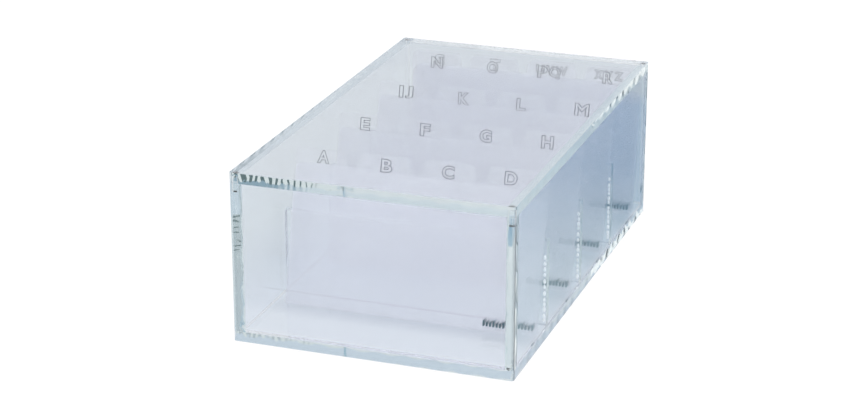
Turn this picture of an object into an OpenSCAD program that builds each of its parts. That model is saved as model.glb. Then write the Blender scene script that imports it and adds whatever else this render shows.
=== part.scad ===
// Clear acrylic card index box: a five-panel box with three low partitions, a loose
// lift-off lid on four locating pins, and twenty tabbed divider sheets in four compartments.
// The origin is the centre of the footprint, with +X to the right, -Y the front, +Z up.

/* [Box] */
// Outside width, left to right
box_w = 111; // [108:1:130]
// Outside depth, front to back
box_d = 188.5; // [186:0.5:215]
// Outside height with the lid on
box_h = 67.5; // [67.5:0.5:80]
// Thickness of every panel of the box and of the lid
panel_t = 4; // [3.5:0.1:4.5]
// Radius of the box's upright corners
corner_r = 1.2; // [0.6:0.1:1.4]
// Thickness of the cement line where two panels meet
cement = 0.04; // [0.02:0.01:0.1]

/* [Locating pins] */
// Diameter of a pin
pin_d = 2.4; // [1.6:0.1:2.6]
// Distance from the box's outer faces to a pin's centre
pin_inset = 2; // [1.9:0.1:2.1]
// How far a pin stands into the lid
pin_rise = 2.6; // [1:0.1:3]
// How deep a pin is set into the wall
pin_set = 3.6; // [2:0.1:6]

/* [Partitions] */
// Thickness of a partition
partition_t = 3; // [2:0.1:4]
// Height of a partition above the box's floor
partition_h = 34.5; // [25:0.5:38]
// Free length of the front compartment
front_gap = 39.7; // [38:0.1:42]
// Distance from one partition's front face to the next one's
partition_pitch = 45.3; // [44:0.1:46]

/* [Divider sheets] */
// Width of a sheet
sheet_w = 98.4; // [90:0.1:99]
// Height of a sheet without its tab
body_h = 52; // [46:0.1:52]
// Height of a tab above the sheet's shoulder
tab_h = 6.6; // [4:0.1:6.6]
// Gap between one tab's side and the next one's, halfway up
tab_gap = 4.4; // [3:0.1:6]
// How much narrower a tab is at its top than at its foot, on each side
tab_taper = 0.45; // [0:0.05:1]
// Thickness of a sheet
sheet_t = 0.6; // [0.3:0.05:0.6]
// Air between one sheet and the next
sheet_air = 0.3; // [0.2:0.05:0.3]
// Lean of the sheets that rest on a partition, in degrees from upright
lean = 13.5; // [12:0.5:14]
// Lean of the last compartment's sheets, which rest on the back wall, in degrees
back_lean = 8; // [7:0.5:8]
// How far the sheets have slid to the right of the box's middle
slide_right = 1.6; // [0:0.1:2]

/* [Hidden] */

// Smoothness of true curves
$fn = 64;
// Steps in each rounded corner of a sheet's outline
arc_steps = 6;
// Radius of a sheet's shoulders and bottom corners
shoulder_r = 2.6;
foot_r = 1.0;
// Radius of a tab's top corners, and of the inside corners at its foot
tab_r = 1.9;
root_r = 0.9;
// Clearance of the lid's holes round the pins, and of the sheets over the floor
pin_play = 0.1;
floor_play = 0.05;
// Tabs side by side across one set of sheets
tabs = 4;

wall_h = box_h - 2 * panel_t - 2 * cement;
wall_z = panel_t + cement;
lid_z = box_h - panel_t;
inner_w = box_w - 2 * panel_t;
inner_front = -box_d / 2 + panel_t;
inner_back = box_d / 2 - panel_t;
sheet_pitch = sheet_t + sheet_air;
tab_pitch = (sheet_w + tab_gap) / tabs;
tab_w = tab_pitch - tab_gap;
acrylic = [0.84, 0.90, 0.92, 0.35];
film = [0.62, 0.70, 0.84, 0.6];

// Front face of partition n, counted from 0 at the front
function partition_y(n) = inner_front + front_gap + n * partition_pitch;

// Distance from a stack's foot line to its last sheet's rear face, square to the sheets
function stack_depth(sheets) = (sheets - 1) * sheet_pitch + sheet_t;

// Foot line of the stack that rests on the top front edge of partition n
function stack_y(n) =
    partition_y(n) - (stack_depth(tabs) + 0.1 + partition_h * sin(lean)) / cos(lean);

// Rise along a leaning sheet that keeps its rear bottom edge on the floor
function sheet_rise(place, angle) = stack_depth(place + 1) * tan(angle) + floor_play;

// Foot line of the last compartment's stack, whose rear tabs rest on the back wall
back_stack_y = inner_back - 0.1
    - (body_h + tab_h + sheet_rise(2 * tabs - 1, back_lean)) * sin(back_lean)
    - stack_depth(2 * tabs) * cos(back_lean);

// Points of an arc about a centre, from angle a to angle b
function arc(centre, r, a, b) = [
    for (i = [0:arc_steps])
        let (angle = a + (b - a) * i / arc_steps)
            centre + r * [cos(angle), sin(angle)]
];

// Outline of a sheet, foot at y = 0, with its tab in the given place from the left.
// An outer tab shares its outer side with the sheet's edge.
function sheet_outline(place) =
    let (
        half = sheet_w / 2,
        left = -half + place * tab_pitch,
        right = left + tab_w,
        top = body_h + tab_h,
        first = place == 0,
        last = place == tabs - 1
    )
    concat(
        arc([-half + foot_r, foot_r], foot_r, 270, 180),
        first ? [] : arc([-half + shoulder_r, body_h - shoulder_r], shoulder_r, 180, 90),
        first ? [] : arc([left - tab_taper - root_r, body_h + root_r], root_r, 270, 360),
        arc([left + (first ? 0 : tab_taper) + tab_r, top - tab_r], tab_r, 180, 90),
        arc([right - (last ? 0 : tab_taper) - tab_r, top - tab_r], tab_r, 90, 0),
        last ? [] : arc([right + tab_taper + root_r, body_h + root_r], root_r, 180, 270),
        last ? [] : arc([half - shoulder_r, body_h - shoulder_r], shoulder_r, 90, 0),
        arc([half - foot_r, foot_r], foot_r, 0, -90)
    );

// A flat plate of the box's full footprint with rounded upright corners
module footprint_plate() {
    linear_extrude(panel_t)
        footprint();
}

module footprint() {
    x = box_w / 2 - corner_r;
    y = box_d / 2 - corner_r;
    square([2 * x, box_d], center = true);
    square([box_w, 2 * y], center = true);
    for (sx = [-1, 1], sy = [-1, 1])
        translate([sx * x, sy * y])
            circle(corner_r);
}

// Places of the four locating pins
module at_pins(sides = [-1, 1]) {
    for (sx = [-1, 1], sy = sides)
        translate([sx * (box_w / 2 - pin_inset), sy * (box_d / 2 - pin_inset), 0])
            children();
}

// An end wall, the full width of the box, with a hole for a pin at each end. side is -1 or 1
module end_wall(side) {
    difference() {
        translate([0, 0, wall_z])
            linear_extrude(wall_h)
                intersection() {
                    footprint();
                    translate([0, side * (box_d - panel_t) / 2])
                        square([box_w, panel_t], center = true);
                }
        at_pins([side])
            translate([0, 0, wall_z + wall_h - pin_set])
                cylinder(h = pin_set + 1, d = pin_d + 2 * cement);
    }
}

// A side wall, which stands between the two end walls. side is -1 or 1
module side_wall(side) {
    length = box_d - 2 * panel_t - 2 * cement;
    translate([side * (box_w - panel_t) / 2 - panel_t / 2, -length / 2, wall_z])
        cube([panel_t, length, wall_h]);
}

module partition(n) {
    color(acrylic)
        translate([-inner_w / 2 + cement, partition_y(n), panel_t + cement])
            cube([inner_w - 2 * cement, partition_t, partition_h - cement]);
}

module base_plate() {
    color(acrylic)
        footprint_plate();
}

module front_wall() {
    color(acrylic)
        end_wall(-1);
}

module back_wall() {
    color(acrylic)
        end_wall(1);
}

module left_wall() {
    color(acrylic)
        side_wall(-1);
}

module right_wall() {
    color(acrylic)
        side_wall(1);
}

module locating_pins() {
    color(acrylic)
        at_pins()
            translate([0, 0, lid_z - cement - pin_set])
                cylinder(h = pin_set + cement + pin_rise, d = pin_d);
}

module lid_plate() {
    color(acrylic)
        translate([0, 0, lid_z])
            difference() {
                footprint_plate();
                at_pins()
                    translate([0, 0, -1])
                        cylinder(h = pin_rise + pin_play + 1, d = pin_d + 2 * pin_play);
            }
}

// One divider. place counts the sheets of a stack from the front, and the tab steps
// one place to the right from each sheet to the next.
module divider(foot_y, angle, place) {
    color(film)
        translate([slide_right, foot_y, panel_t])
            rotate([90 - angle, 0, 0])
                translate([0, sheet_rise(place, angle), -place * sheet_pitch - sheet_t])
                    linear_extrude(sheet_t)
                        polygon(sheet_outline(place % tabs));
}

base_plate();
front_wall();
back_wall();
left_wall();
right_wall();
partition(0);  // partition_1
partition(1);  // partition_2
partition(2);  // partition_3
locating_pins();
lid_plate();
divider(stack_y(0), lean, 0);  // divider_a
divider(stack_y(0), lean, 1);  // divider_b
divider(stack_y(0), lean, 2);  // divider_c
divider(stack_y(0), lean, 3);  // divider_d
divider(stack_y(1), lean, 0);  // divider_e
divider(stack_y(1), lean, 1);  // divider_f
divider(stack_y(1), lean, 2);  // divider_g
divider(stack_y(1), lean, 3);  // divider_h
divider(stack_y(2), lean, 0);  // divider_ij
divider(stack_y(2), lean, 1);  // divider_k
divider(stack_y(2), lean, 2);  // divider_l
divider(stack_y(2), lean, 3);  // divider_m
divider(back_stack_y, back_lean, 0);  // divider_n
divider(back_stack_y, back_lean, 1);  // divider_o
divider(back_stack_y, back_lean, 2);  // divider_pq
divider(back_stack_y, back_lean, 3);  // divider_r
divider(back_stack_y, back_lean, 4);  // divider_s
divider(back_stack_y, back_lean, 5);  // divider_t
divider(back_stack_y, back_lean, 6);  // divider_uvw
divider(back_stack_y, back_lean, 7);  // divider_xyz
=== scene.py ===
import math
import random

import bmesh
import bpy
from mathutils import Matrix, Vector


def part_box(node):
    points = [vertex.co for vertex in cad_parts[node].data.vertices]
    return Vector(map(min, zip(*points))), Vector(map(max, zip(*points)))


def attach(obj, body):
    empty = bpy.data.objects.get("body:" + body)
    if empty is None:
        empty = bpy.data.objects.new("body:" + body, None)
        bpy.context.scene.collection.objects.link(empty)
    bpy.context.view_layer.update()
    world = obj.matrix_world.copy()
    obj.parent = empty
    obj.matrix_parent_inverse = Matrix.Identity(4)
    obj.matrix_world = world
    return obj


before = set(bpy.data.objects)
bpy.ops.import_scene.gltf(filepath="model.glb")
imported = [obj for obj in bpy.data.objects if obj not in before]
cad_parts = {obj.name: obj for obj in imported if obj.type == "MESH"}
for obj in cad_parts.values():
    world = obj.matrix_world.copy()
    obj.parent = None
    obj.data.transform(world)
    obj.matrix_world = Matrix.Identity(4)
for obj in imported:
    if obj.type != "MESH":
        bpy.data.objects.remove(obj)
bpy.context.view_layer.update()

MM = 0.001
scene = bpy.context.scene

# ---------------------------------------------------------------- camera
VIEW_AZIMUTH = math.radians(19.55)
VIEW_ELEVATION = math.radians(20.45)
CAMERA_PLACE = Vector((278.3, -812.15, 348.6)) * MM
LENS_MM = 95.05
SENSOR_MM = 36.0
FARTHEST_SEEN = 20.0


def add_camera():
    """The photograph's long-lens view, from the front right and above."""
    data = bpy.data.cameras.new("camera")
    data.lens = LENS_MM
    data.sensor_width = SENSOR_MM
    data.clip_end = FARTHEST_SEEN
    camera = bpy.data.objects.new("camera", data)
    camera.location = CAMERA_PLACE
    camera.rotation_euler = (math.pi / 2 - VIEW_ELEVATION, 0.0, VIEW_AZIMUTH)
    scene.collection.objects.link(camera)
    scene.camera = camera


# ---------------------------------------------------------------- acrylic and film
# Ripples on a sawn edge: how they slant, how close they are, and how much they wander
SAW_TURN = (0.0, math.radians(-40), math.radians(-40))
SAW_SCALE = 50.0
SAW_WANDER = 2.0
SAW_DETAIL = 1.0
SAW_DETAIL_SCALE = 0.6
# How deep the ripples are, by the way the panel's broad faces look. The lid and the base, which look up, are
# cut more coarsely than the walls
SAW_DEPTH = {"X": 0.018 * MM, "Y": 0.018 * MM, "Z": 0.024 * MM}
# How square to a broad face a point must look to be left smooth
EDGE_STEP = (0.55, 0.7)
# Depth of the slow ripple on a broad face
FACE_RIPPLE = 0.0045 * MM
FACE_RIPPLE_SCALE = 28.0
HANDLING_SCALE = 60.0
CLEAR_TINT = (0.985, 0.995, 0.995)
CLEAR_DEPTH = (0.78, 0.93, 0.925)
CLEAR_DENSITY = 2.4
CLEAR_ROUGHEST = 0.006
ACRYLIC_IOR = 1.49
FILM_LIGHT = (0.91, 0.935, 0.98)
FILM_DARK = (0.88, 0.91, 0.965)
FILM_COVER = 0.14
FILM_IOR = 1.5
FILM_ROUGH = (0.28, 0.4)
# Rolling leaves streaks across the film, and a fine grain
STREAK_SCALE = 22.0
STREAK_STRETCH = (1.0, 6.0, 1.0)
GRAIN_SCALE = 900.0
GRAIN_BUMP = 0.05
GRAIN_DEPTH = 0.05 * MM
INK_SCALE = 700.0
INK_UNEVEN = 0.15
# The middle of a noise pattern's range, which carries most of its change
NOISE_STEP = (0.35, 0.65)


def new_material(name):
    """An empty material with its output node."""
    material = bpy.data.materials.new(name)
    material.use_nodes = True
    tree = material.node_tree
    tree.nodes.clear()
    output = tree.nodes.new("ShaderNodeOutputMaterial")
    return material, tree, output


def noise(tree, scale, detail, stretch=(1.0, 1.0, 1.0)):
    """A noise pattern in the object's own coordinates, in metres."""
    place = tree.nodes.new("ShaderNodeTexCoord")
    mapping = tree.nodes.new("ShaderNodeMapping")
    mapping.inputs["Scale"].default_value = stretch
    pattern = tree.nodes.new("ShaderNodeTexNoise")
    pattern.inputs["Scale"].default_value = scale
    pattern.inputs["Detail"].default_value = detail
    tree.links.new(place.outputs["Object"], mapping.inputs["Vector"])
    tree.links.new(mapping.outputs["Vector"], pattern.inputs["Vector"])
    return pattern.outputs["Fac"]


def spread(tree, value, low, high, start=NOISE_STEP[0], end=NOISE_STEP[1]):
    """A pattern's value spread between two numbers."""
    node = tree.nodes.new("ShaderNodeMapRange")
    node.inputs["From Min"].default_value = start
    node.inputs["From Max"].default_value = end
    node.inputs["To Min"].default_value = low
    node.inputs["To Max"].default_value = high
    tree.links.new(value, node.inputs["Value"])
    return node.outputs["Result"]


def bump(tree, value, strength, distance):
    node = tree.nodes.new("ShaderNodeBump")
    node.inputs["Strength"].default_value = strength
    node.inputs["Distance"].default_value = distance
    tree.links.new(value, node.inputs["Height"])
    return node.outputs["Normal"]


def mix_colour(tree, factor, first, second):
    """One colour or the other by a factor. Each colour is three numbers or a socket."""
    node = tree.nodes.new("ShaderNodeMix")
    node.data_type = "RGBA"
    tree.links.new(factor, node.inputs["Factor"])
    for name, colour in (("A", first), ("B", second)):
        if isinstance(colour, tuple):
            node.inputs[name].default_value = (*colour, 1.0)
        else:
            tree.links.new(colour, node.inputs[name])
    return node.outputs["Result"]


def maths(tree, operation, first, second):
    node = tree.nodes.new("ShaderNodeMath")
    node.operation = operation
    for socket, value in zip(node.inputs, (first, second)):
        if isinstance(value, (int, float)):
            socket.default_value = value
        else:
            tree.links.new(value, socket)
    return node.outputs[0]


def edge_share(tree, axis):
    """1 on the narrow sawn edges of a panel whose broad faces look along axis, and 0 on those broad faces."""
    place = tree.nodes.new("ShaderNodeTexCoord")
    split = tree.nodes.new("ShaderNodeSeparateXYZ")
    tree.links.new(place.outputs["Normal"], split.inputs["Vector"])
    facing = maths(tree, "ABSOLUTE", split.outputs[axis], 0.0)
    return spread(tree, facing, 1.0, 0.0, *EDGE_STEP)


def saw_marks(tree):
    """Slanting ripples that the saw and the polishing flame leave along a cut edge."""
    place = tree.nodes.new("ShaderNodeTexCoord")
    turn = tree.nodes.new("ShaderNodeMapping")
    turn.inputs["Rotation"].default_value = SAW_TURN
    waves = tree.nodes.new("ShaderNodeTexWave")
    waves.inputs["Scale"].default_value = SAW_SCALE
    waves.inputs["Distortion"].default_value = SAW_WANDER
    waves.inputs["Detail"].default_value = SAW_DETAIL
    waves.inputs["Detail Scale"].default_value = SAW_DETAIL_SCALE
    tree.links.new(place.outputs["Object"], turn.inputs["Vector"])
    tree.links.new(turn.outputs["Vector"], waves.inputs["Vector"])
    return waves.outputs["Fac"]


def acrylic(name, axis):
    """Clear cast acrylic with faint handling marks, saw marks on its edges, and a tint that grows with depth.

    axis is the way the panel's broad faces look.
    """
    material, tree, output = new_material(name)
    shader = tree.nodes.new("ShaderNodeBsdfPrincipled")
    shader.inputs["Base Color"].default_value = (*CLEAR_TINT, 1.0)
    shader.inputs["Transmission Weight"].default_value = 1.0
    shader.inputs["IOR"].default_value = ACRYLIC_IOR
    marks = noise(tree, HANDLING_SCALE, 6.0)
    tree.links.new(spread(tree, marks, 0.0, CLEAR_ROUGHEST), shader.inputs["Roughness"])
    ripple = maths(tree, "MULTIPLY", noise(tree, FACE_RIPPLE_SCALE, 2.0), FACE_RIPPLE / SAW_DEPTH[axis])
    cut = maths(tree, "MULTIPLY", saw_marks(tree), edge_share(tree, axis))
    height = maths(tree, "ADD", ripple, cut)
    tree.links.new(bump(tree, height, 1.0, SAW_DEPTH[axis]), shader.inputs["Normal"])
    depth = tree.nodes.new("ShaderNodeVolumeAbsorption")
    depth.inputs["Color"].default_value = (*CLEAR_DEPTH, 1.0)
    depth.inputs["Density"].default_value = CLEAR_DENSITY
    tree.links.new(shader.outputs["BSDF"], output.inputs["Surface"])
    tree.links.new(depth.outputs["Volume"], output.inputs["Volume"])
    return material


def film(name):
    """Translucent bluish plastic sheet with a satin face and faint streaks from rolling."""
    material, tree, output = new_material(name)
    shader = tree.nodes.new("ShaderNodeBsdfPrincipled")
    streaks = noise(tree, STREAK_SCALE, 4.0, STREAK_STRETCH)
    tone = mix_colour(tree, spread(tree, streaks, 0.0, 1.0), FILM_DARK, FILM_LIGHT)
    tree.links.new(tone, shader.inputs["Base Color"])
    grain = noise(tree, GRAIN_SCALE, 2.0)
    tree.links.new(spread(tree, grain, *FILM_ROUGH), shader.inputs["Roughness"])
    tree.links.new(bump(tree, grain, GRAIN_BUMP, GRAIN_DEPTH), shader.inputs["Normal"])
    shader.inputs["Alpha"].default_value = FILM_COVER
    shader.inputs["IOR"].default_value = FILM_IOR
    tree.links.new(shader.outputs["BSDF"], output.inputs["Surface"])
    return material


def ink(name, dark, light, rough):
    """Printed ink, a little uneven in its cover."""
    material, tree, output = new_material(name)
    shader = tree.nodes.new("ShaderNodeBsdfPrincipled")
    cover = noise(tree, INK_SCALE, 3.0)
    tree.links.new(mix_colour(tree, spread(tree, cover, 0.0, 1.0), dark, light), shader.inputs["Base Color"])
    tree.links.new(spread(tree, cover, rough, rough + INK_UNEVEN), shader.inputs["Roughness"])
    tree.links.new(shader.outputs["BSDF"], output.inputs["Surface"])
    return material


# ---------------------------------------------------------------- CAD nodes
PANEL_BEVEL = 0.25 * MM
PIN_BEVEL = 0.2 * MM
# Only edges sharper than this are bevelled
BEVEL_ANGLE = math.radians(40)


def dress(node, material, bevel=0.0):
    """Gives a CAD node its material, and softens its edges without moving them."""
    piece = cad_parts[node]
    piece.data.materials.clear()
    piece.data.materials.append(material)
    if bevel:
        soften = piece.modifiers.new("edges", "BEVEL")
        soften.width = bevel
        soften.segments = 2
        soften.limit_method = "ANGLE"
        soften.angle_limit = BEVEL_ANGLE
        soften.harden_normals = False


# Which way each clear panel's broad faces look
BROAD_FACES = {
    "Z": ["base_plate", "lid_plate"],
    "Y": ["front_wall", "back_wall", "partition_1", "partition_2", "partition_3"],
    "X": ["left_wall", "right_wall"],
}


def dress_all():
    for axis, nodes in BROAD_FACES.items():
        material = acrylic("acrylic_" + axis.lower(), axis)
        for node in nodes:
            dress(node, material, PANEL_BEVEL)
    dress("locating_pins", acrylic("acrylic_pins", "Z"), PIN_BEVEL)
    film_material = film("divider_film")
    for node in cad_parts:
        if node.startswith("divider_"):
            dress(node, film_material)


# ---------------------------------------------------------------- print on the dividers
STACKS = [
    ["a", "b", "c", "d"],
    ["e", "f", "g", "h"],
    ["ij", "k", "l", "m"],
    ["n", "o", "pq", "r", "s", "t", "uvw", "xyz"],
]
TABS = 4
TAB_GAP = 4.4 * MM
LETTER_H = 5.2 * MM
LETTER_FOOT = 52.05 * MM
INK_LIFT = 0.02 * MM
LETTER_INK = ((0.02, 0.03, 0.05), (0.04, 0.06, 0.09))
MARK_INK = ((0.001, 0.06, 0.09), (0.004, 0.09, 0.12))
LETTER_ROUGH = 0.4
MARK_ROUGH = 0.35
# Points within this height of a sheet's top or foot belong to that edge
EDGE_BAND = 0.4 * MM
# The typeface's outline is made bolder by GLYPH_BOLD, and drawn with a line of radius GLYPH_LINE, which
# GLYPH_FLAT then presses flat
GLYPH_BOLD = 0.036
GLYPH_LINE = 0.021
GLYPH_FLAT = 0.15
GLYPH_GAP = 0.12
# How wide each bold capital is, in letter heights, where it is not as wide as GLYPH_WIDTH
GLYPH_WIDTH = 0.98
GLYPH_WIDTHS = {
    "B": 0.92, "E": 0.84, "F": 0.86, "I": 0.40, "J": 0.72, "L": 0.80, "M": 1.20, "N": 1.06,
    "P": 0.86, "Q": 1.02, "R": 0.90, "S": 0.88, "T": 0.90, "W": 1.30,
}
# Three letters on one tab are printed smaller, in a heavier line
SMALL_PRINT = 0.78
SMALL_LINE = 0.034
# Letters stand a little nearer the middle than their tabs do
TOWARDS_MIDDLE = 0.98
# How far some letters are printed off their place, across and up, in mm
PRINT_OFF = {
    "a": (0.2, 0.9), "b": (0.6, 0.0), "d": (-0.6, 0.2), "ij": (0.9, 0.0), "k": (1.0, -0.5), "l": (0.5, -0.7),
    "m": (1.1, -0.4), "r": (0.7, 0.0),
}


# The row of ticks near each sheet's foot
TICKS = 13
TALL_EVERY = 3
TICK_PITCH = 1.3 * MM
TICK_WIDTH = 0.65 * MM
TICK_TALL = 2.2 * MM
TICK_SHORT = 1.65 * MM
TICK_FOOT = 2.1 * MM
TICK_FROM_EDGE = 0.5 * MM
TICK_PROUD = 0.012 * MM
TICK_SUNK = 0.01 * MM


def glyph(character, line):
    """One bold capital as a flat outline of fine tubes: its points, foot at 0 and top at 1, and its faces."""
    curve = bpy.data.curves.new("glyph", "FONT")
    curve.body = character
    curve.offset = GLYPH_BOLD
    curve.fill_mode = "NONE"
    curve.bevel_depth = line
    curve.bevel_resolution = 1
    curve.resolution_u = 5
    text_object = bpy.data.objects.new("glyph", curve)
    scene.collection.objects.link(text_object)
    bpy.context.view_layer.update()
    mesh = bpy.data.meshes.new_from_object(text_object.evaluated_get(bpy.context.evaluated_depsgraph_get()))
    bpy.data.objects.remove(text_object)
    points = [v.co.copy() for v in mesh.vertices]
    faces = [tuple(p.vertices) for p in mesh.polygons]
    bpy.data.meshes.remove(mesh)
    low, high = min(p.y for p in points), max(p.y for p in points)
    left, right = min(p.x for p in points), max(p.x for p in points)
    tall = 1.0 / (high - low)
    wide = GLYPH_WIDTHS.get(character, GLYPH_WIDTH) / (right - left)
    return [((p.x - left) * wide, (p.y - low) * tall, p.z * tall * GLYPH_FLAT) for p in points], faces


def letters_mesh(text, line, place):
    """The letters side by side, centred, in the plane that place() gives."""
    points, faces, right = [], [], 0.0
    for character in text:
        shape, sides = glyph(character, line)
        start = len(points)
        points += [(x + right, y, z) for x, y, z in shape]
        faces += [tuple(i + start for i in side) for side in sides]
        right = max(p[0] for p in points) + GLYPH_GAP
    middle = (right - GLYPH_GAP) / 2
    mesh = bpy.data.meshes.new("index_" + text)
    mesh.from_pydata([place(x - middle, y, z) for x, y, z in points], [], faces)
    return mesh


def letter(node, text, centre_x, foot, up, out, material):
    """The tab's index letters on the front face of a divider."""
    off_x, off_up = PRINT_OFF.get(text.lower(), (0.0, 0.0))
    small = len(text) > 2
    size = LETTER_H * (SMALL_PRINT if small else 1.0)
    middle_up = LETTER_FOOT + LETTER_H / 2 + off_up * MM

    def place(x, y, z):
        return (foot + Vector((x * size + centre_x + off_x * MM, 0.0, 0.0))
                + up * ((y - 0.5) * size + middle_up) + out * (z * LETTER_H + INK_LIFT))

    mesh = letters_mesh(text, SMALL_LINE if small else GLYPH_LINE, place)
    piece = bpy.data.objects.new("index_" + node.replace("divider_", ""), mesh)
    scene.collection.objects.link(piece)
    mesh.materials.append(material)
    return piece


def sheet_frame(node):
    """A leaning sheet's front face: a point on its foot line, the way up it, and the way out of it."""
    points = [v.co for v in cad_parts[node].data.vertices]
    top = max(p.z for p in points)
    foot_z = min(p.z for p in points)
    # The front top edge and the front foot edge are the foremost points near each end
    front_top = min((p for p in points if p.z > top - EDGE_BAND), key=lambda p: p.y)
    front_foot = min((p for p in points if p.z < foot_z + EDGE_BAND), key=lambda p: p.y)
    up = Vector((0.0, front_top.y - front_foot.y, front_top.z - front_foot.z)).normalized()
    out = Vector((0.0, -up.z, up.y))
    foot = Vector((0.0, front_foot.y, front_foot.z))
    return foot, up, out


def mark(node, right_x, foot, up, out, material):
    """A small printed row of plain ticks near the foot of a divider, at its right."""
    bm = bmesh.new()
    for i in range(TICKS):
        left = right_x - (TICKS - i) * TICK_PITCH
        right = left + TICK_WIDTH
        top = TICK_FOOT + (TICK_SHORT if i % TALL_EVERY else TICK_TALL)
        corners = [foot + Vector((x, 0, 0)) + up * y
                   for x, y in ((left, TICK_FOOT), (right, TICK_FOOT), (right, top), (left, top))]
        front = [bm.verts.new(corner + out * TICK_PROUD) for corner in corners]
        back = [bm.verts.new(corner - out * TICK_SUNK) for corner in corners]
        bm.faces.new(front)
        bm.faces.new(back[::-1])
        for j in range(4):
            k = (j + 1) % 4
            bm.faces.new((front[j], back[j], back[k], front[k]))
    bmesh.ops.recalc_face_normals(bm, faces=bm.faces)
    mesh = bpy.data.meshes.new("mark")
    bm.to_mesh(mesh)
    bm.free()
    mesh.materials.append(material)
    piece = bpy.data.objects.new("mark_" + node.replace("divider_", ""), mesh)
    scene.collection.objects.link(piece)
    return piece


def print_dividers():
    letter_ink = ink("letter_ink", *LETTER_INK, LETTER_ROUGH)
    mark_ink = ink("mark_ink", *MARK_INK, MARK_ROUGH)
    for stack in STACKS:
        for place, letters in enumerate(stack):
            node = "divider_" + letters
            low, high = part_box(node)
            foot, up, out = sheet_frame(node)
            pitch = (high.x - low.x + TAB_GAP) / TABS
            middle = (low.x + high.x) / 2
            centre = low.x + (place % TABS) * pitch + (pitch - TAB_GAP) / 2
            centre = middle + (centre - middle) * TOWARDS_MIDDLE
            piece = letter(node, letters.upper(), centre, foot, up, out, letter_ink)
            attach(piece, node)
            piece = mark(node, high.x - TICK_FROM_EDGE, foot, up, out, mark_ink)
            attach(piece, node)


# ---------------------------------------------------------------- cement beads
BEAD_PITCH = 1.3 * MM
BEAD_SIZE = 1.15 * MM
# A bead's centre off the right wall and off the partition's front face
BEAD_OFF_WALL = 0.7 * MM
BEAD_OFF_PARTITION = 0.3 * MM
BEADS_FROM_FOOT = 2 * MM
BEADS_FROM_TOP = 4 * MM
# How much the beads' length, width and spacing vary
BEAD_LENGTHS = (1.3, 2.0)
BEAD_WIDTHS = (0.8, 1.1)
BEAD_FIRST = (0.2, 1.0)
BEAD_SPACES = (0.6, 1.4)
BEAD_SEED = 4
# Painted glints: the clear drops are coloured white and near white so that they show as bright dashes
CEMENT_GLINT_PALE = (0.90, 0.93, 0.94)
CEMENT_GLINT_WHITE = (1.0, 1.0, 1.0)
CEMENT_ROUGH = (0.05, 0.2)
CEMENT_BUMP = 0.3
CEMENT_GLOSS = 0.8
# A painted glow: the drops shine faintly, as if they gathered light from all round
CEMENT_PAINTED_GLOW = 0.3


def bead_material():
    """Set cement: clear drops, coloured white and given a faint painted glow, so that they shine like glints.
    """
    material, tree, output = new_material("cement")
    shader = tree.nodes.new("ShaderNodeBsdfPrincipled")
    cloud = noise(tree, GRAIN_SCALE, 2.0)
    tone = mix_colour(tree, spread(tree, cloud, 0.0, 1.0), CEMENT_GLINT_PALE, CEMENT_GLINT_WHITE)
    tree.links.new(tone, shader.inputs["Base Color"])
    tree.links.new(spread(tree, cloud, *CEMENT_ROUGH), shader.inputs["Roughness"])
    tree.links.new(bump(tree, cloud, CEMENT_BUMP, GRAIN_DEPTH), shader.inputs["Normal"])
    shader.inputs["Specular IOR Level"].default_value = CEMENT_GLOSS
    shader.inputs["Emission Color"].default_value = (*CEMENT_GLINT_WHITE, 1.0)
    shader.inputs["Emission Strength"].default_value = CEMENT_PAINTED_GLOW
    tree.links.new(shader.outputs["BSDF"], output.inputs["Surface"])
    return material


def bead_row(name, foot, height, material, draw):
    """Small drops of cement up a joint, uneven in size and spacing."""
    bm = bmesh.new()
    run = draw.uniform(*BEAD_FIRST) * BEAD_PITCH
    while run < height:
        length = BEAD_SIZE * draw.uniform(*BEAD_LENGTHS)
        width = BEAD_SIZE * draw.uniform(*BEAD_WIDTHS)
        shape = Matrix.Translation(foot + Vector((0, 0, run))) @ Matrix.Diagonal((width, width, length, 1.0))
        bmesh.ops.create_icosphere(bm, subdivisions=2, radius=0.5, matrix=shape)
        run += length / 2 + BEAD_PITCH * draw.uniform(*BEAD_SPACES)
    mesh = bpy.data.meshes.new(name)
    bm.to_mesh(mesh)
    bm.free()
    mesh.polygons.foreach_set("use_smooth", [True] * len(mesh.polygons))
    mesh.materials.append(material)
    piece = bpy.data.objects.new(name, mesh)
    scene.collection.objects.link(piece)
    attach(piece, "box")


def add_beads():
    material = bead_material()
    draw = random.Random(BEAD_SEED)
    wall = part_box("right_wall")[0].x
    for n in (1, 2, 3):
        low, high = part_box("partition_%d" % n)
        foot = Vector((wall - BEAD_OFF_WALL, low.y - BEAD_OFF_PARTITION, low.z + BEADS_FROM_FOOT))
        height = high.z - low.z - BEADS_FROM_FOOT - BEADS_FROM_TOP
        bead_row("cement_partition_%d" % n, foot, height, material, draw)


# ---------------------------------------------------------------- stage and light
# The floor and the room are white where the camera sees them directly. What the acrylic picks up from them is
# a blue-grey table with a shaded side, and a room with a dark gap at the back right. Each _STEP, _END, _FROM
# and _TO is the start and end of a soft step: places on the floor in metres, and heights of view in the room
# as the sine of the angle above level.
FLOOR_HALF = 4.0
FLOOR_DROP = 0.2 * MM
FLOOR_WHITE = 1.02
# How much of the white is paper that takes shadows, so that the box stands on it
FLOOR_PAPER = 0.12
PAPER_TONES = ((0.90, 0.90, 0.90), (0.93, 0.93, 0.93))
PAPER_SCALE = 3.0
WHITE = (1.0, 1.0, 1.0)

TABLE_LIGHT = (0.59, 0.645, 0.735)
TABLE_FRONT = (0.74, 0.78, 0.86)
# Painted key light: the table in front of the box glows near white where the key would fall
TABLE_KEY = (0.95, 0.94, 0.94)
TABLE_LEFT = (0.70, 0.75, 0.79)
TABLE_FAR = (0.64, 0.69, 0.75)
FRONT_STEP = (-0.01, -0.07)
KEY_STEP = (-0.15, -0.22)
LEFT_STEP = (-0.06, -0.10)
FAR_STEP = (0.250, 0.257)

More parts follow.
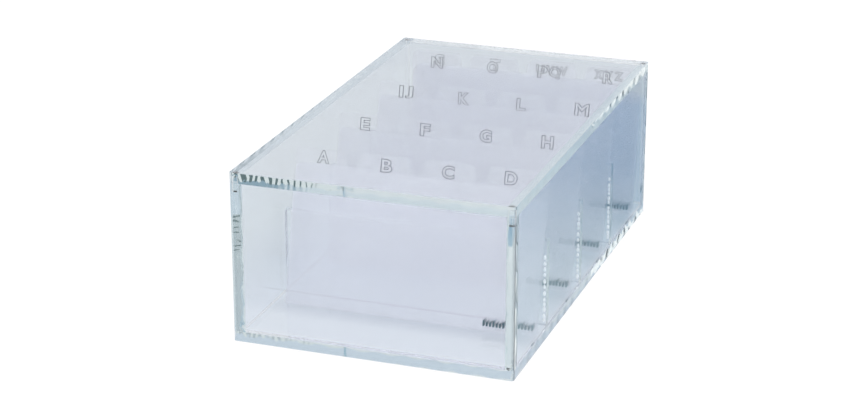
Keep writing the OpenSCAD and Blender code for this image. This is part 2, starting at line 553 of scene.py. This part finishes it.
# The shaded side starts a little further left the further back it is
SHADE_NEAR = (0.50, 0.64, 0.71)
SHADE_FAR = (0.12, 0.28, 0.44)
SHADE_LAST = (0.26, 0.36, 0.44)
SHADE_SLANT = 0.06
SHADE_STEP = (0.050, 0.066)
SHADE_FAR_STEP = (0.01, 0.15)
SHADE_LAST_STEP = (0.235, 0.260)
SHADE_RIGHT_END = (0.115, 0.17)
SHADE_BACK_END = (0.27, 0.33)
SHADE_FRONT_END = (-0.08, -0.20)

# A soft contact shadow along the foot of each stack
STACK_FRONTS = ["divider_a", "divider_e", "divider_ij", "divider_n"]
FOOT_TONE = (0.40, 0.44, 0.55)
FOOT_SHADOW = 0.5
FOOT_HALF = 0.010
FOOT_BEHIND = 0.003
FOOT_LEFT = (-0.060, -0.046)
FOOT_RIGHT = (0.048, 0.060)

ROOM_WHITE = (0.72, 0.74, 0.78)
ROOM_GREY = (0.50, 0.54, 0.60)
ROOM_DUSK = (0.72, 0.75, 0.77)
ROOM_DARK = (0.09, 0.14, 0.15)
ROOM_MIST = (0.46, 0.50, 0.54)
ROOM_KEY = (1.3, 1.27, 1.25)
ROOM_TOP = (1.25, 1.25, 1.25)
BEHIND_STEP = (-0.15, 0.25)
CEILING_STEP = (0.50, 0.75)
MIST_STEP = (0.345, 0.352)
# Bearings in degrees: 0 is straight back, 90 is to the right, -90 is to the left
DUSK_FROM = (20.5, 22)
DARK_FROM = (23.9, 24.3)
DUSK_TO = (45, 65)
KEY_TO = (-140, -125)

# Light that falls on the film, below, around and from above
TABLE_FILL = (1.16, 1.15, 1.26)
ROOM_FILL = (1.38, 1.38, 1.50)
TOP_FILL = (1.92, 1.92, 2.08)
FILL_STEP = (0.1, 0.8)


def after_film(tree):
    """1 for light that the divider film scatters, so that the studio lights it more than it mirrors."""
    scattered = tree.nodes.new("ShaderNodeLightPath").outputs["Diffuse Depth"]
    return maths(tree, "GREATER_THAN", scattered, 0.5)


def seen_directly(tree):
    return tree.nodes.new("ShaderNodeLightPath").outputs["Is Camera Ray"]


def rise(tree, value, step):
    """0 before a soft step and 1 past it."""
    return spread(tree, value, 0.0, 1.0, *step)


def fall(tree, value, step):
    """1 before a soft step and 0 past it."""
    return spread(tree, value, 1.0, 0.0, *step)


def shaded_side(tree, x, y):
    """How far a place on the floor lies in the table's shaded side, and the colour there."""
    edge = maths(tree, "ADD", x, maths(tree, "MULTIPLY", y, SHADE_SLANT))
    share = rise(tree, edge, SHADE_STEP)
    for value, step in ((x, SHADE_RIGHT_END), (y, SHADE_BACK_END), (y, SHADE_FRONT_END)):
        share = maths(tree, "MULTIPLY", share, fall(tree, value, step))
    colour = mix_colour(tree, rise(tree, y, SHADE_FAR_STEP), SHADE_NEAR, SHADE_FAR)
    return share, mix_colour(tree, rise(tree, y, SHADE_LAST_STEP), colour, SHADE_LAST)


def foot_shadow(tree, x, y, node):
    """How far a place on the floor lies in the shadow along the foot of a stack."""
    from_foot = maths(tree, "SUBTRACT", y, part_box(node)[0].y + FOOT_BEHIND)
    share = spread(tree, maths(tree, "ABSOLUTE", from_foot, 0.0), FOOT_SHADOW, 0.0, 0.0, FOOT_HALF)
    share = maths(tree, "MULTIPLY", share, fall(tree, x, FOOT_RIGHT))
    return maths(tree, "MULTIPLY", share, rise(tree, x, FOOT_LEFT))


def table_colour(tree):
    """The studio table's glow at a place on the floor: its tones with painted key light in front, a painted
    shaded side and painted shadows at the stacks' feet, and the fill light for the film.
    """
    place = tree.nodes.new("ShaderNodeTexCoord")
    split = tree.nodes.new("ShaderNodeSeparateXYZ")
    tree.links.new(place.outputs["Object"], split.inputs["Vector"])
    x, y = split.outputs["X"], split.outputs["Y"]
    colour = mix_colour(tree, rise(tree, y, FRONT_STEP), TABLE_LIGHT, TABLE_FRONT)
    colour = mix_colour(tree, rise(tree, y, KEY_STEP), colour, TABLE_KEY)
    colour = mix_colour(tree, rise(tree, x, LEFT_STEP), colour, TABLE_LEFT)
    colour = mix_colour(tree, rise(tree, y, FAR_STEP), colour, TABLE_FAR)
    share, shade = shaded_side(tree, x, y)
    colour = mix_colour(tree, share, colour, shade)
    for node in STACK_FRONTS:
        colour = mix_colour(tree, foot_shadow(tree, x, y, node), colour, FOOT_TONE)
    return mix_colour(tree, after_film(tree), colour, TABLE_FILL)


def floor_material():
    """Plain white paper to the camera, and the table's glow to the acrylic."""
    material, tree, output = new_material("floor")
    glow = tree.nodes.new("ShaderNodeEmission")
    tree.links.new(table_colour(tree), glow.inputs["Color"])
    paper = tree.nodes.new("ShaderNodeBsdfDiffuse")
    cloud = noise(tree, PAPER_SCALE, 2.0)
    tree.links.new(mix_colour(tree, cloud, *PAPER_TONES), paper.inputs["Color"])
    white = tree.nodes.new("ShaderNodeEmission")
    white.inputs["Color"].default_value = (*WHITE, 1.0)
    white.inputs["Strength"].default_value = FLOOR_WHITE
    pale = tree.nodes.new("ShaderNodeMixShader")
    pale.inputs["Fac"].default_value = FLOOR_PAPER
    tree.links.new(white.outputs[0], pale.inputs[1])
    tree.links.new(paper.outputs[0], pale.inputs[2])
    choose = tree.nodes.new("ShaderNodeMixShader")
    tree.links.new(seen_directly(tree), choose.inputs["Fac"])
    tree.links.new(glow.outputs[0], choose.inputs[1])
    tree.links.new(pale.outputs[0], choose.inputs[2])
    tree.links.new(choose.outputs[0], output.inputs["Surface"])
    return material


def add_stage():
    """A plain pale floor."""
    mesh = bpy.data.meshes.new("floor")
    corners = [(x * FLOOR_HALF, y * FLOOR_HALF, 0) for x, y in ((-1, -1), (1, -1), (1, 1), (-1, 1))]
    mesh.from_pydata(corners, [], [(0, 1, 2, 3)])
    mesh.materials.append(floor_material())
    floor = bpy.data.objects.new("floor", mesh)
    floor.location.z = -FLOOR_DROP
    scene.collection.objects.link(floor)


def room_colour(tree):
    """The room's colour in each direction: light walls, a bright front left and ceiling, and a dark gap."""
    place = tree.nodes.new("ShaderNodeTexCoord")
    split = tree.nodes.new("ShaderNodeSeparateXYZ")
    tree.links.new(place.outputs["Generated"], split.inputs["Vector"])
    x, y, z = split.outputs
    bearing = maths(tree, "DEGREES", maths(tree, "ARCTAN2", x, y), 0.0)
    wall = mix_colour(tree, rise(tree, y, BEHIND_STEP), ROOM_GREY, ROOM_WHITE)
    dusk = maths(tree, "MULTIPLY", rise(tree, bearing, DUSK_FROM), fall(tree, bearing, DUSK_TO))
    wall = mix_colour(tree, dusk, wall, ROOM_DUSK)
    dark = maths(tree, "MULTIPLY", rise(tree, bearing, DARK_FROM), fall(tree, bearing, DUSK_TO))
    wall = mix_colour(tree, dark, wall, mix_colour(tree, rise(tree, z, MIST_STEP), ROOM_DARK, ROOM_MIST))
    wall = mix_colour(tree, fall(tree, bearing, KEY_TO), wall, ROOM_KEY)
    room = mix_colour(tree, rise(tree, z, CEILING_STEP), wall, ROOM_TOP)
    fill = mix_colour(tree, rise(tree, z, FILL_STEP), ROOM_FILL, TOP_FILL)
    return mix_colour(tree, after_film(tree), room, fill)


def add_light():
    """Soft studio light from all round."""
    world = bpy.data.worlds.new("studio")
    scene.world = world
    world.use_nodes = True
    tree = world.node_tree
    background = tree.nodes["Background"]
    seen = mix_colour(tree, seen_directly(tree), room_colour(tree), WHITE)
    tree.links.new(seen, background.inputs["Color"])
    background.inputs["Strength"].default_value = 1.0


def set_light_paths():
    """Enough bounces for light to cross every sheet and run along the panels."""
    scene.cycles.max_bounces = 64
    scene.cycles.diffuse_bounces = 8
    scene.cycles.glossy_bounces = 32
    scene.cycles.transmission_bounces = 48
    scene.cycles.transparent_max_bounces = 64
    scene.cycles.volume_bounces = 0
    scene.cycles.sample_clamp_indirect = 8.0
    scene.view_settings.view_transform = "Standard"


add_camera()
dress_all()
print_dividers()
add_beads()
add_stage()
add_light()
set_light_paths()
